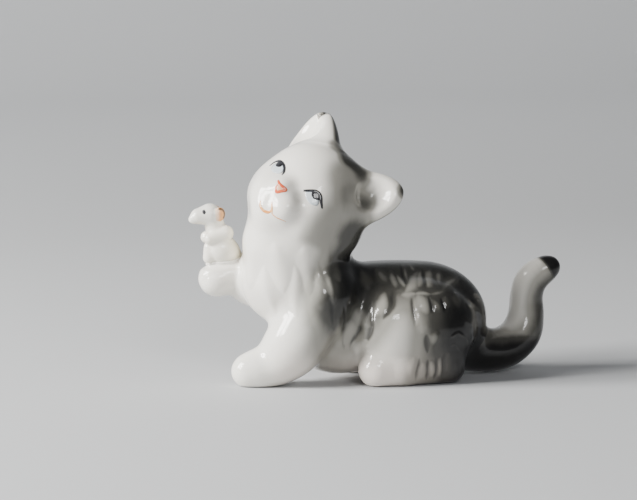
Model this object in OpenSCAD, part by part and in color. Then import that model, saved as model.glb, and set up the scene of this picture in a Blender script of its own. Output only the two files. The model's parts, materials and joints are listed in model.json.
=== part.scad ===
// Ceramic cat figurine: a crouching kitten that turns its face up and holds a mouse on one raised paw.
// The cat looks along -X, its left side is towards -Y, and it rests on Z = 0.

/* [Shell] */
// Thickness of the slip-cast wall
wall = 3; // [2:0.5:4]
// Diameter of the vent hole under the belly
vent_d = 5; // [3:0.5:7]
// Diameter of the open passage from body to head
throat_d = 13; // [8:1:15]
// Thickness of the painted enamel
enamel_t = 0.25; // [0.15:0.05:0.4]

/* [Body] */
// Centre of the rump
rump_c = [12.8, 0.5, 16];
// Half length, half width and half height of the rump
rump_r = [19.8, 14.5, 16.6]; // [12:0.1:22]
// Centre of the back
back_c = [-1, 0, 19];
// Half length, half width and half height of the back
back_r = [18, 13.5, 14]; // [10:0.1:20]
// Centre of the belly
belly_c = [-10, 0, 9.5];
// Half length, half width and half height of the belly
belly_r = [12, 10, 7.5]; // [6:0.1:14]
// Centre of the chest ruff
chest_c = [-21.7, 0, 29.8];
// Half length, half width and half height of the chest ruff
chest_r = [15.7, 13.5, 15.2]; // [10:0.1:18]
// Centre of the neck
neck_c = [-22.8, -2, 39.5];
// Half length, half width and half height of the neck
neck_r = [15, 13, 12]; // [9:0.1:16]

/* [Head] */
// Centre of the head
head_c = [-19.3, -2.5, 52.1];
// Tip back, lean to the side and turn to the side of the head
head_turn = [-33, 28, -52]; // [-90:1:90]
// Half width, half depth and half height of the skull
skull_r = [14.7, 13.5, 15.2]; // [10:0.1:17]
// Spacing of the whisker pads
pad_spacing = 7; // [6:0.5:9]
// Spacing of the eyes
eye_spacing = 14.6; // [12:0.2:17]
// Width of the nose
nose_w = 4.2; // [3:0.1:5.5]

/* [Ears] */
// Half width of the left ear at its base
left_ear_w = 8.1; // [6:0.1:9]
// Half width of the right ear at its base
right_ear_w = 11; // [7:0.1:12]
// Half thickness of the left ear at its base
left_ear_d = 4.6; // [4:0.2:6]
// Half thickness of the right ear at its base
right_ear_d = 5.8; // [4:0.2:6.4]
// Length of the left ear
left_ear_l = 14.6; // [11:0.2:16]
// Length of the right ear
right_ear_l = 13.9; // [11:0.1:16]

/* [Legs] */
// Distance of each haunch from the middle plane
haunch_y = 10.5; // [9:0.5:12]
// Half length, half width and half height of a haunch
haunch_r = [16.5, 8.5, 14]; // [7:0.1:18]
// Distance of each hind foot from the middle plane
foot_y = 12.5; // [11:0.5:14]
// Radius of the raised paw
paw_r = 4.7; // [4:0.1:5.4]
// Radius of the planted front foot
front_foot_r = 4.7; // [4.5:0.1:6]

/* [Tail] */
// Radius of the tail where it stands upright
tail_r = 4.7; // [4:0.1:6]
// Radius of the tail at its tip
tail_tip_r = 2.8; // [2:0.1:4]

/* [Mouse] */
// Point on the raised paw where the mouse sits
mouse_seat = [-41.2, 8, 36.4];
// Half length, half width and half height of the mouse's hips
mouse_hip_r = [4.5, 4.3, 4]; // [3:0.1:5]
// Height of the mouse's head above its seat
mouse_head_h = 10.1; // [8:0.1:11]
// Radius of the mouse's skull
mouse_skull_r = 3.1; // [2.4:0.1:3.4]
// Half height of each mouse ear
mouse_ear_r = 1.9; // [1.4:0.1:2.4]

/* [Hidden] */
// Moves the modelling origin to the middle of the figurine's outline
shift = [-2.4, 0, 0];
// Facets round a large blob, a small blob, a form of the mouse and a limb
fine = 30;
coarse = 24;
tiny = 18;
ring_n = 24;
round_n = 48;
// Steps between two stations of a limb
limb_steps = 3;
// Angles at which a rounded limb end gets a ring
cap_angles = [15, 38, 60, 80];
big = 120;
left = -1;
right = 1;

// Each limb station is its centre and its radius
planted_path = [
    [-16, -8, 25, 8.5],
    [-21.5, -7.6, 17, 8],
    [-25, -6.6, 11, 7.6],
    [-30.5, -5, 5.8, 5.4],
    [-37, -4, 4.2, front_foot_r]
];
raised_path = [
    [-24, 6, 28.5, 8.5],
    [-32.8, 7.8, 27.6, 6.3],
    [-38, 8, 29.6, 3.9],
    [-43.2, 8, 28.3, paw_r]
];
tail_path = [
    [26, 0.5, 8, 6.6],
    [34, 1.5, 6.5, 5.8],
    [40, 3, 7.2, tail_r + 0.9],
    [44.6, 4, 10.8, tail_r + 0.6],
    [46.1, 4.5, 16, tail_r],
    [46.1, 4.5, 21, tail_r - 0.4],
    [47.4, 4, 25.6, tail_r - 0.5],
    [50.4, 3, 28.3, 3.6],
    [52.4, 2.5, 29.4, tail_tip_r]
];

haunch_x = 9.5;
haunch_z = 14.5;
knee_c = [1.5, 12, 15.5];
knee_r = [7.5, 6.5, 9];
toe_r = 5.2;
heel_r = 5;
toe_x = -2.6;
instep_x = 5;
heel_x = 18;
foot_z = 4.6;
vent_x = 2;

// Forms of the face, in the head's own axes
skull_c = [0, 0, 0.3];
jowl_c = [10.8, 5.5, -3.5];
left_jowl_r = [7, 7, 8];
right_jowl_r = [6.2, 6.2, 7.2];
cheek_c = [6.5, -4, -6];
cheek_r = [6.8, 6.6, 7.2];
pad_y = -10.9;
pad_z = -7.8;
pad_r = [4, 4, 4];
bridge_c = [0, -12.2, -4.8];
bridge_r = [2.5, 3.7, 2.8];
chin_c = [0, -9.2, -11.8];
chin_r = [4.2, 4, 3.6];
left_ear_base = [9.8, 1.5, 6.7];
left_ear_tip = [19.8, 2.6, 17.4];
left_ear_turn = 0.25;
right_ear_base = [-8.1, 1.5, 9.6];
right_ear_tip = [-14.6, 3, 21.8];
right_ear_turn = 0.85;
// Shares of an ear's length at which it gets a ring
ear_rings = [-0.35, -0.15, 0, 0.2, 0.4, 0.58, 0.74, 0.87, 0.95, 0.99];
// Share of an ear's front direction that points forwards
ear_front = 0.95;
// Half width, half depth and half length of an ear's hollow, as shares of the ear's own
ear_hollow = [0.72, 0.98, 0.52];
// Share of an ear's length at which its hollow is centred, and how far in front of the ear that is
hollow_up = 0.42;
hollow_gap = 0.6;

// Brush strokes, in the plane of the face, and the depths between which they cross its surface
brush_start = 6;
brush_reach = 20;
lid_line = [[-2.6, -1.4], [-1.4, 0.2], [0.2, 1], [1.6, 0.5], [3, -1.4]];
lid_w = 0.7;
pupil_c = [0.2, -0.1];
pupil_d = 2.2;
nose_top = -3.7;
nose_foot = -6.4;
mouth_line = [[-2.3, -11], [-1.1, -12.1], [0.6, -12.2], [1.6, -9.8], [2.9, -11.7], [4.8, -11.8]];
mouth_w = 0.5;

// Mouse
mouse_skull = mouse_seat + [-3.7, 0, mouse_head_h];
mouse_muzzle = mouse_skull + [-3.2, 0, -0.3];
mouse_snout = mouse_skull + [-4.9, 0, -1.2];
mouse_nape = mouse_skull + [1.3, 0, -2.5];
mouse_rump = mouse_seat + [4.6, 0, -2.4];
mouse_chest_r = 3.5;
mouse_knee = mouse_seat + [-4, -0.4, 1.1];
mouse_foot = mouse_seat + [-4, -0.6, -1.8];
mouse_arm_y = 2.1;
mouse_shoulder = mouse_seat + [0.2, 0, 5];
mouse_hand = mouse_seat + [-4.1, 0, 3.6];
mouse_ear_c = [2.2, 2.5, 0.3];
mouse_eye_c = [-2.4, 1.9, 1.3];
mouse_eye_r = 0.9;

// ---- General shapes ----

function xyz(s) = [s[0], s[1], s[2]];

// Point of a smooth curve between stations b and c
function smooth(a, b, c, d, t) =
    0.5 * (2 * b + (c - a) * t + (2 * a - 5 * b + 4 * c - d) * t * t + (3 * b - a - 3 * c + d) * t * t * t);

function station(path, i) =
    i < 0 ? 2 * path[0] - path[1]
    : i >= len(path) ? 2 * path[len(path) - 1] - path[len(path) - 2]
    : path[i];

function smooth_path(path) = [
    for (i = [0 : len(path) - 2], k = [0 : limb_steps - 1])
        smooth(station(path, i - 1), path[i], path[i + 1], station(path, i + 2), k / limb_steps),
    path[len(path) - 1]
];

function unit(v) = v / norm(v);

// Direction of travel at point i of a curve
function heading(p, i) = unit(xyz(p[min(i + 1, len(p) - 1)]) - xyz(p[max(i - 1, 0)]));

// Ellipse round centre c, in the plane of u and v
function ring(c, u, v, ru, rv) = [
    for (k = [0 : ring_n - 1]) c + u * ru * cos(k * 360 / ring_n) + v * rv * sin(k * 360 / ring_n)
];

// Closed skin over rings of equal size, from the first ring to the last
module skin(rings) {
    n = ring_n;
    m = len(rings);
    sides = [for (i = [0 : m - 2], k = [0 : n - 1])
        [i * n + k, (i + 1) * n + k, (i + 1) * n + (k + 1) % n, i * n + (k + 1) % n]];
    first = [for (k = [0 : n - 1]) k];
    last = [for (k = [0 : n - 1]) m * n - 1 - k];
    polyhedron(points = [for (r = rings) each r], faces = concat([first], sides, [last]), convexity = 6);
}

// Round limb through the stations, with rounded ends
module limb(path) {
    p = smooth_path(path);
    m = len(p) - 1;
    side = [0, 1, 0];
    function frame_ring(c, t, r) = ring(c, unit(cross(side, t)), unit(cross(t, cross(side, t))), r, r);
    t0 = heading(p, 0);
    t1 = heading(p, m);
    start = [for (i = [len(cap_angles) - 1 : -1 : 0])
        frame_ring(xyz(p[0]) - t0 * p[0][3] * sin(cap_angles[i]), t0, p[0][3] * cos(cap_angles[i]))];
    middle = [for (i = [0 : m]) frame_ring(xyz(p[i]), heading(p, i), p[i][3])];
    finish = [for (a = cap_angles)
        frame_ring(xyz(p[m]) + t1 * p[m][3] * sin(a), t1, p[m][3] * cos(a))];
    skin(concat(start, middle, finish));
}

// Egg of half sizes r round centre c, as a faceted skin
module blob(c, r, grow = 0, n = fine) {
    translate(c) hull() scale([r[0] + grow, r[1] + grow, r[2] + grow]) sphere(1, $fn = n);
}

// Tapered link between two balls
module link(a, ra, b, rb, n = coarse) {
    hull() {
        translate(a) sphere(ra, $fn = n);
        translate(b) sphere(rb, $fn = n);
    }
}

// Round bar from point a to point b
module bar(a, b, r) {
    v = b - a;
    translate(a)
        rotate([0, acos(v[2] / norm(v)), atan2(v[1], v[0])])
            cylinder(r = r, h = norm(v), $fn = round_n);
}

module place() {
    translate(shift) children();
}

module below_ground() {
    translate([-big, -big, -big]) cube([2 * big, 2 * big, big]);
}

// ---- Body ----

module torso_form() {
    blob(rump_c, rump_r);
    blob(back_c, back_r);
    blob(belly_c, belly_r);
    blob(chest_c, chest_r);
    blob(neck_c, neck_r);
}

module torso_cavity() {
    blob(rump_c, rump_r, -wall, coarse);
    blob(back_c, back_r, -wall, coarse);
    blob(chest_c, chest_r, -wall, coarse);
}

module throat() {
    bar(head_c, chest_c, throat_d / 2);
}

module hind_form(s) {
    blob([haunch_x, s * haunch_y, haunch_z], haunch_r);
    blob([knee_c[0], s * knee_c[1], knee_c[2]], knee_r);
    link([toe_x, s * foot_y, foot_z], toe_r, [instep_x, s * foot_y, foot_z], heel_r);
    link([instep_x, s * foot_y, foot_z], heel_r, [heel_x, s * (foot_y - 1), foot_z], heel_r);
}

module torso_shell() {
    color("dimgray") place() difference() {
        torso_form();
        torso_cavity();
        throat();
        head_form();
        below_ground();
        translate([vent_x, 0, -1]) cylinder(d = vent_d, h = back_c[2], $fn = round_n);
    }
}

module hind_leg(s) {
    difference() {
        hind_form(s);
        torso_form();
        below_ground();
    }
}

module left_hind_leg() {
    color("darkgray") place() hind_leg(left);
}

module right_hind_leg() {
    color("darkgray") place() hind_leg(right);
}

module left_foreleg() {
    color("linen") place() difference() {
        limb(planted_path);
        torso_form();
        hind_form(left);
        below_ground();
    }
}

module right_foreleg() {
    color("linen") place() difference() {
        limb(raised_path);
        torso_form();
        head_form();
    }
}

module tail() {
    color("slategray") place() difference() {
        limb(tail_path);
        torso_form();
        hind_form(left);
        hind_form(right);
        below_ground();
    }
}

// ---- Head, in its own axes: face along -Y, crown along +Z, the cat's left along +X ----

module at_head() {
    translate(head_c) rotate(head_turn) children();
}

module face_forms(grow = 0) {
    blob(skull_c, skull_r, grow);
    blob(jowl_c, left_jowl_r, grow, coarse);
    blob([-jowl_c[0], jowl_c[1], jowl_c[2]], right_jowl_r, grow, coarse);
    for (s = [-1, 1]) blob([s * cheek_c[0], cheek_c[1], cheek_c[2]], cheek_r, grow, coarse);
    for (s = [-1, 1]) blob([s * pad_spacing / 2, pad_y, pad_z], pad_r, grow, coarse);
    blob(bridge_c, bridge_r, grow, coarse);
    blob(chin_c, chin_r, grow, coarse);
}

module head_form() {
    at_head() face_forms();
}

module head_cavity() {
    at_head() blob(skull_c, skull_r, -wall, coarse);
}

module head_shell() {
    color("whitesmoke") place() difference() {
        head_form();
        head_cavity();
        throat();
    }
}

// Ear from base centre c towards tip t, of half width w and half depth d, facing forwards and turned outwards
module ear_form(c, t, l, turn, w, d) {
    up = unit(t - c);
    towards = [turn * sign(c[0]), -ear_front, 0];
    face = unit(towards - up * (up * towards));
    wide = cross(up, face);
    difference() {
        skin([for (h = ear_rings)
            ring(c + up * l * h, face, wide, d * sqrt(1 - max(h, 0)), w * sqrt(1 - max(h, 0)))]);
        multmatrix([
            [wide[0], face[0], up[0], 0],
            [wide[1], face[1], up[1], 0],
            [wide[2], face[2], up[2], 0],
            [0, 0, 0, 1]
        ])
            ear_scoop([c * wide, c * face, c * up], l, w, d);
    }
}

module ear_scoop(c, l, w, d) {
    half = [w * ear_hollow[0], d * ear_hollow[1], l * ear_hollow[2]];
    blob(c + [0, d + hollow_gap, l * hollow_up], half, 0, coarse);
}

module ear(c, t, l, turn, w, d) {
    difference() {
        at_head() ear_form(c, t, l, turn, w, d);
        head_form();
        torso_form();
    }
}

module left_ear() {
    color("gainsboro") place()
        ear(left_ear_base, left_ear_tip, left_ear_l, left_ear_turn, left_ear_w, left_ear_d);
}

module right_ear() {
    color("gainsboro") place()
        ear(right_ear_base, right_ear_tip, right_ear_l, right_ear_turn, right_ear_w, right_ear_d);
}

// Painted area of the face: an outline pushed through the head, kept only on its surface
module on_face() {
    place() at_head() difference() {
        intersection() {
            face_forms(enamel_t);
            translate([0, -brush_start, 0]) rotate([90, 0, 0]) linear_extrude(brush_reach) children();
        }
        face_forms();
    }
}

// Brush stroke of one width through points
module stroke(points, w) {
    for (i = [0 : len(points) - 2]) hull() {
        translate(points[i]) circle(d = w, $fn = tiny);
        translate(points[i + 1]) circle(d = w, $fn = tiny);
    }
}

// Eye from its middle: lid line, with the pupil hanging from it
module eye_outline(s) {
    translate([s * eye_spacing / 2, 0]) scale([s, 1]) {
        stroke(lid_line, lid_w);
        translate(pupil_c) circle(d = pupil_d, $fn = coarse);
    }
}

module left_eye_enamel() {
    color("black") on_face() eye_outline(1);
}

module right_eye_enamel() {
    color("black") on_face() eye_outline(-1);
}

module nose_enamel() {
    color("orangered") on_face() polygon([
        [-nose_w / 2, nose_top],
        [nose_w / 2, nose_top],
        [0, nose_foot]
    ]);
}

module mouth_enamel() {
    color("orange") on_face() stroke(mouth_line, mouth_w);
}

// ---- Mouse on the raised paw ----

module mouse_torso_form() {
    blob(mouse_seat, mouse_hip_r, 0, tiny);
    link(mouse_seat + [2.2, 0, -1.2], 2.6, mouse_rump, 1.6, tiny);
    link(mouse_seat + [-0.8, 0, 1.1], mouse_chest_r, mouse_nape, mouse_chest_r - 0.8, tiny);
    link(mouse_knee, 1.5, mouse_foot, 1.8, tiny);
    for (y = [-mouse_arm_y, mouse_arm_y])
        link(mouse_shoulder + [0, y, 0], 2.3, mouse_hand + [0, y, 0], 1.7, tiny);
}

module mouse_head_form() {
    link(mouse_skull, mouse_skull_r, mouse_muzzle, mouse_skull_r - 1, tiny);
    link(mouse_muzzle + [0, 0, -0.2], 1.7, mouse_snout, 1.1, tiny);
}

module mouse_ear_form(s) {
    at = mouse_skull + [mouse_ear_c[0], s * mouse_ear_c[1], mouse_ear_c[2]];
    blob(at, [mouse_ear_r - 0.3, 0.8, mouse_ear_r], 0, tiny);
}

module mouse_ear(s) {
    difference() {
        mouse_ear_form(s);
        mouse_head_form();
    }
}

// Dot of enamel on one cheek of the mouse
module mouse_eye(s) {
    difference() {
        translate(mouse_skull + [mouse_eye_c[0], s * mouse_eye_c[1], mouse_eye_c[2]])
            sphere(mouse_eye_r, $fn = tiny);
        mouse_head_form();
    }
}

module mouse_body() {
    color("ivory") place() difference() {
        mouse_torso_form();
        limb(raised_path);
    }
}

module mouse_head() {
    color("ivory") place() difference() {
        mouse_head_form();
        mouse_torso_form();
    }
}

module mouse_left_ear() {
    color("sandybrown") place() mouse_ear(left);
}

module mouse_right_ear() {
    color("sandybrown") place() mouse_ear(right);
}

module mouse_left_eye() {
    color("black") place() mouse_eye(left);
}

module mouse_right_eye() {
    color("black") place() mouse_eye(right);
}

torso_shell();
head_shell();
left_ear();
right_ear();
left_foreleg();
right_foreleg();
left_hind_leg();
right_hind_leg();
tail();
mouse_body();
mouse_head();
mouse_left_ear();
mouse_right_ear();
left_eye_enamel();
right_eye_enamel();
nose_enamel();
mouth_enamel();
mouse_left_eye();
mouse_right_eye();
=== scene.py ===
"""Glazed ceramic kitten with a mouse on its paw.

One smooth porcelain form is written as a distance field, in millimetres of its own. Each moulded section is
cut from it as a closed mesh that dives under its neighbour at the seam, so the joints between sections
disappear under the glaze, as on the fired figurine. Enamel strokes are thin solids laid on it.
"""

import json

import bmesh
import bpy
import numpy as np
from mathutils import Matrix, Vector


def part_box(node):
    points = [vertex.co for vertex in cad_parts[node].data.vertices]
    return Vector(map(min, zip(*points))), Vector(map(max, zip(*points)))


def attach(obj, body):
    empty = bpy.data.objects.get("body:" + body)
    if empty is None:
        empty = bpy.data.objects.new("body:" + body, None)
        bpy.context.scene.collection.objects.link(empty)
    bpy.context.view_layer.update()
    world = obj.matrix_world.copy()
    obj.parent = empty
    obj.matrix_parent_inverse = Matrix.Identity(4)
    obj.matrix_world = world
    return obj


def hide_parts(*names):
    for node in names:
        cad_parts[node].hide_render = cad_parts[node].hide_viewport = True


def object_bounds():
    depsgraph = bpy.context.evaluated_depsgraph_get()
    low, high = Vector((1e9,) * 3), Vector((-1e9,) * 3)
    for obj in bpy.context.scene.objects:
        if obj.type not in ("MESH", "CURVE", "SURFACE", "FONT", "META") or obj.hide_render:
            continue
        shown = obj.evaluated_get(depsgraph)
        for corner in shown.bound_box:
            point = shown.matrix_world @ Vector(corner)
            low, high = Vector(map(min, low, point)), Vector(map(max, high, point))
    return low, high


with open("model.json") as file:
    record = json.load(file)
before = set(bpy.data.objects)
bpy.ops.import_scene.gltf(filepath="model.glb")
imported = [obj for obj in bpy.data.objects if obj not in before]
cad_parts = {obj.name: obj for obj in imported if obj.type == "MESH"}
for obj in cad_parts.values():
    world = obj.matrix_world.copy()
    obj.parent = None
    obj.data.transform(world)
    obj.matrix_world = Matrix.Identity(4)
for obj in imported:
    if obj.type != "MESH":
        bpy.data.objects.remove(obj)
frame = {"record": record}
cad_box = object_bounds()
MM = 0.001
BODY = "root"


# ---- Distance fields: points are rows of millimetres, negative is inside ----


def unit(v):
    v = np.asarray(v, float)
    return v / np.linalg.norm(v)


def blend_min(a, b, k):
    h = np.maximum(k - np.abs(a - b), 0) / k
    return np.minimum(a, b) - h * h * k * 0.25


def blend_max(a, b, k):
    return -blend_min(-a, -b, k)


def ramp(x, a, b):
    t = np.clip((x - a) / (b - a), 0, 1)
    return t * t * (3 - 2 * t)


def egg(p, centre, radii, axes=None):
    q = p - np.asarray(centre, np.float32)
    if axes is not None:
        q = q @ np.asarray(axes, np.float32).T
    r = np.asarray(radii, np.float32)
    k0 = np.linalg.norm(q / r, axis=-1)
    k1 = np.linalg.norm(q / (r * r), axis=-1)
    return k0 * (k0 - 1) / np.maximum(k1, 1e-6)


def taper(p, a, b, ra, rb):
    """Round link from a ball at a to a ball at b."""
    a, b = np.asarray(a, np.float32), np.asarray(b, np.float32)
    ra, rb = np.float32(ra), np.float32(rb)
    ba = b - a
    l2 = ba @ ba
    rr = ra - rb
    a2 = l2 - rr * rr
    pa = p - a
    y = pa @ ba
    z = y - l2
    v = pa * l2 - y[..., None] * ba
    x2 = np.einsum("...i,...i", v, v)
    y2, z2 = y * y * l2, z * z * l2
    k = np.sign(rr) * rr * rr * x2
    d = (np.sqrt(x2 * a2 / l2) + y * rr) / l2 - ra
    d = np.where(np.sign(y) * a2 * y2 < k, np.sqrt(x2 + y2) / l2 - ra, d)
    return np.where(np.sign(z) * a2 * z2 > k, np.sqrt(x2 + z2) / l2 - rb, d)


def smooth_path(stations, steps=3):
    """Catmull-Rom curve through stations of x, y, z and radius."""
    s = np.array(stations, float)
    s = np.vstack([2 * s[0] - s[1], s, 2 * s[-1] - s[-2]])
    out = []
    for i in range(1, len(s) - 2):
        a, b, c, d = s[i - 1 : i + 3]
        for t in np.arange(steps) / steps:
            square, cube = 2 * a - 5 * b + 4 * c - d, 3 * b - a - 3 * c + d
            out.append(0.5 * (2 * b + (c - a) * t + square * t * t + cube * t**3))
    out.append(s[-2])
    return np.array(out)


def limb(p, path, k):
    d = None
    for a, b in zip(path[:-1], path[1:]):
        e = taper(p, a[:3], b[:3], a[3], b[3])
        d = e if d is None else blend_min(d, e, k)
    return d


# ---- The kitten's form ----

MIDDLE = np.array([2.4, 0, 0])  # the frame's origin, in the form's own millimetres
LEFT, RIGHT = -1, 1

HEAD = np.array([-19.3, -2.5, 52.1])
FACE = unit((-0.503, -0.718, 0.481))
CROWN = unit(np.array((0.683, 0.009, 0.731)) - np.dot((0.683, 0.009, 0.731), FACE) * FACE)
CHEEK = np.cross(CROWN, FACE)  # towards the cat's left
HEAD_AXES = np.array([CHEEK, FACE, CROWN])


def on_head(side, forward, up):
    return HEAD + side * CHEEK + forward * FACE + up * CROWN


def torso(p):
    d = egg(p, (12.8, 0.5, 16), (19.8, 14.5, 16.6))
    d = blend_min(d, egg(p, (-1, 0, 19), (18, 13.5, 14)), 5)
    d = blend_min(d, egg(p, (-10, 0, 9.5), (12, 10, 7.5)), 3)
    d = blend_min(d, egg(p, (-21.7, 0, 29.8), (15.7, 13.5, 15.2)), 4.5)
    return blend_min(d, egg(p, (-22.8, -2, 39.5), (15, 13, 12)), 3)


def hind_leg(p, s):
    d = egg(p, (9.5, s * 10.5, 14.5), (16.5, 8.5, 14))
    d = blend_min(d, egg(p, (1.5, s * 12, 15.5), (7.5, 6.5, 9)), 4)
    foot = np.array([(-2.6, s * 12.5, 4.6, 5.2), (5, s * 12.6, 4.6, 5), (18, s * 11.5, 4.6, 5)])
    return blend_min(d, limb(p, foot, 2), 2)


TAIL = smooth_path(
    [
        (26, 0.5, 8, 6.6),
        (34, 1.5, 6.5, 5.8),
        (40, 3, 7.2, 5.6),
        (44.6, 4, 10.8, 5.4),
        (46.1, 4.5, 16, 4.7),
        (46.1, 4.5, 21, 4.3),
        (47.4, 4, 25.6, 4.2),
        (50.4, 3, 28.3, 3.6),
        (52.4, 2.5, 29.4, 2.8),
    ]
)
PLANTED = smooth_path(
    [
        (-16, -8, 25, 8.5),
        (-21.5, -7.6, 17, 8),
        (-25, -6.6, 11, 7.6),
        (-30.5, -5, 5.8, 5.4),
        (-37, -4, 4.2, 4.7),
    ]
)
RAISED = smooth_path(
    [
        (-24, 6, 28.5, 8.5),
        (-32.8, 7.8, 27.6, 6.3),
        (-38, 8, 29.6, 3.9),
        (-43.2, 8, 28.3, 4.7),
    ]
)
MOUSE_SKULL = np.array([-44.9, 8, 46.5])


def head(p):
    d = egg(p, on_head(0, 0, 0.3), (14.7, 13.5, 15.2), HEAD_AXES)
    for s, jowl in ((-1, 6.2), (1, 7)):
        d = blend_min(d, egg(p, on_head(s * 10.8, -5.5, -3.5), (jowl, jowl, jowl + 1), HEAD_AXES), 4)
        d = blend_min(d, egg(p, on_head(s * 6.5, 4, -6), (6.8, 6.6, 7.2), HEAD_AXES), 5)
    d = blend_min(d, egg(p, on_head(-3.3, 10.4, -7.7), (4.3, 4, 4.2), HEAD_AXES), 6)
    d = blend_min(d, egg(p, on_head(0, 12.2, -4.8), (2.4, 3.5, 2.8), HEAD_AXES), 3.4)
    d = blend_min(d, egg(p, on_head(0, 9.2, -11.8), (4.2, 4, 3.6), HEAD_AXES), 5)
    return blend_min(d, egg(p, on_head(3.7, 11.3, -8), (3.7, 3.9, 3.9), HEAD_AXES), 2.4)


# Base and tip on the head, half width and half depth, the powers that round the outer and inner edges,
# how far the hollow lies outwards, and how far the ear turns outwards
EARS = {
    LEFT: dict(
        base=(9.8, -1.5, 6.7), tip=(19.8, -2.6, 17.4), wide=8.1, deep=4.6,
        outer=1.8, inner=1.5, taper=1, scoop=0.5, turn=0.25,
    ),
    RIGHT: dict(
        base=(-8.1, -1.5, 9.6), tip=(-14.6, -3, 21.8), wide=11.2, deep=6,
        outer=2, inner=1, taper=1.3, scoop=1.2, turn=0.85,
    ),
}


def ear(p, s):
    e = EARS[s]
    base, tip = on_head(*e["base"]), on_head(*e["tip"])
    up = unit(tip - base)
    length = np.linalg.norm(tip - base)
    outward = -s * CHEEK
    front = 0.95 * FACE + e["turn"] * outward
    front = unit(front - (front @ up) * up)
    side = np.cross(up, front)
    side *= np.sign(side @ outward)
    q = p - base
    x, y, z = q @ side, q @ front, q @ up
    t = np.clip(z / length, -0.6, 1)
    outer_edge = 1 - np.abs(t) ** e["outer"]
    inner_edge = np.maximum(1 - np.abs(t) ** e["inner"], 0) ** e["taper"]
    g = np.maximum(np.where(x > 0, outer_edge, inner_edge), 0)
    f = (x / e["wide"]) ** 2 + (y / e["deep"]) ** 2 - g
    slope = np.where(x > 0, 1.5 * np.sqrt(np.abs(t)), 1) / length
    d = f / np.sqrt((2 * x / e["wide"] ** 2) ** 2 + (2 * y / e["deep"] ** 2) ** 2 + slope**2 + 1e-4)
    d = np.where(z > length, np.sqrt(x * x + y * y + (z - length) ** 2) * 0.7, d)
    axes = np.array([side, front, up])
    hollow = base + front * (e["deep"] + 0.6) + side * e["scoop"] + up * length * 0.48
    scoop = egg(p, hollow, (e["wide"] * 0.7, e["deep"] * 0.88, length * 0.46), axes)
    d = blend_max(d, -scoop, 1.2)
    return blend_max(d, -(z + 5), 4) * 0.9


def mouse_body(p):
    d = egg(p, (-41.2, 8, 36.4), (4.5, 4.3, 4))
    d = blend_min(d, taper(p, (-39, 8, 35.2), (-36.6, 8, 34), 2.6, 1.6), 1.5)
    d = blend_min(d, taper(p, (-42, 8, 37.5), (-43.6, 8, 44), 3.5, 2.7), 1.5)
    d = blend_min(d, taper(p, (-45.2, 7.6, 37.5), (-45.2, 7.4, 34.6), 1.5, 1.8), 0.7)
    for y in (5.9, 10.1):
        d = blend_min(d, taper(p, (-41, y, 41.4), (-45.3, y, 40), 2.3, 1.7), 0.6)
    return d


def mouse_head(p):
    d = taper(p, MOUSE_SKULL, MOUSE_SKULL + (-3.2, 0, -0.3), 3.1, 2.1)
    return blend_min(d, taper(p, MOUSE_SKULL + (-3.2, 0, -0.5), MOUSE_SKULL + (-4.9, 0, -1.2), 1.7, 1.1), 1)


def mouse_ear(p, s):
    return egg(p, MOUSE_SKULL + (2.2, s * 2.5, 0.3), (1.6, 0.8, 1.9))


# Section: its field, and how softly it runs into the rest
SECTIONS = {
    "torso_shell": (torso, 3),
    "left_hind_leg": (lambda p: hind_leg(p, LEFT), 2.5),
    "right_hind_leg": (lambda p: hind_leg(p, RIGHT), 2.5),
    "tail": (lambda p: limb(p, TAIL, 1), 3),
    "left_foreleg": (lambda p: limb(p, PLANTED, 2), 3),
    "right_foreleg": (lambda p: limb(p, RAISED, 2), 2.5),
    "head_shell": (head, 5),
    "right_ear": (lambda p: ear(p, RIGHT), 2),
    "left_ear": (lambda p: ear(p, LEFT), 4.5),
    "mouse_body": (mouse_body, 0.8),
    "mouse_head": (mouse_head, 0.8),
    "mouse_left_ear": (lambda p: mouse_ear(p, LEFT), 0.5),
    "mouse_right_ear": (lambda p: mouse_ear(p, RIGHT), 0.5),
}
FOOT_EDGE = 0.8  # rounding where the form is ground flat to stand
DIVE = (0.4, 0.3)  # how steeply a section turns under its neighbour, near the seam and further in
ROOM = 5  # space kept round a section's CAD box
FAR = 6.5  # past this a section's distance is taken from its box
REACH = {}
for name in SECTIONS:
    low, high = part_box(name)
    REACH[name] = (np.array(low) / MM + MIDDLE - ROOM, np.array(high) / MM + MIDDLE + ROOM)


def fields(p):
    """Distance to each section, exact only near it."""
    out = {}
    for name, (f, _) in SECTIONS.items():
        low, high = REACH[name]
        gap = np.linalg.norm(np.maximum(np.maximum(low - p, p - high), 0), axis=-1)
        near = gap < FAR
        d = gap
        if near.any():
            d[near] = f(p[near])
        out[name] = d
    return out


def whole(p, d=None):
    """The finished form: every section blended with the rest, and cut flat at the floor."""
    d = d or fields(p)
    out = None
    for name, (_, k) in SECTIONS.items():
        if name == "head_shell":
            k = 1.5 + (k - 1.5) * ramp(-p[..., 0], 12, 21)  # crisp at the nape, soft under the chin
        out = d[name] if out is None else blend_min(out, d[name], k)
    return blend_max(out, -p[..., 2], FOOT_EDGE)


def section(p, name):
    """The whole form, pulled inwards where another section is nearer, so this section closes under it."""
    d = fields(p)
    rival = np.min([d[n] for n in d if n != name], axis=0)
    t = np.maximum(d[name] - rival, 0)
    return whole(p, d) + DIVE[0] * t**2 + DIVE[1] * t**4


# ---- Meshing ----


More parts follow.
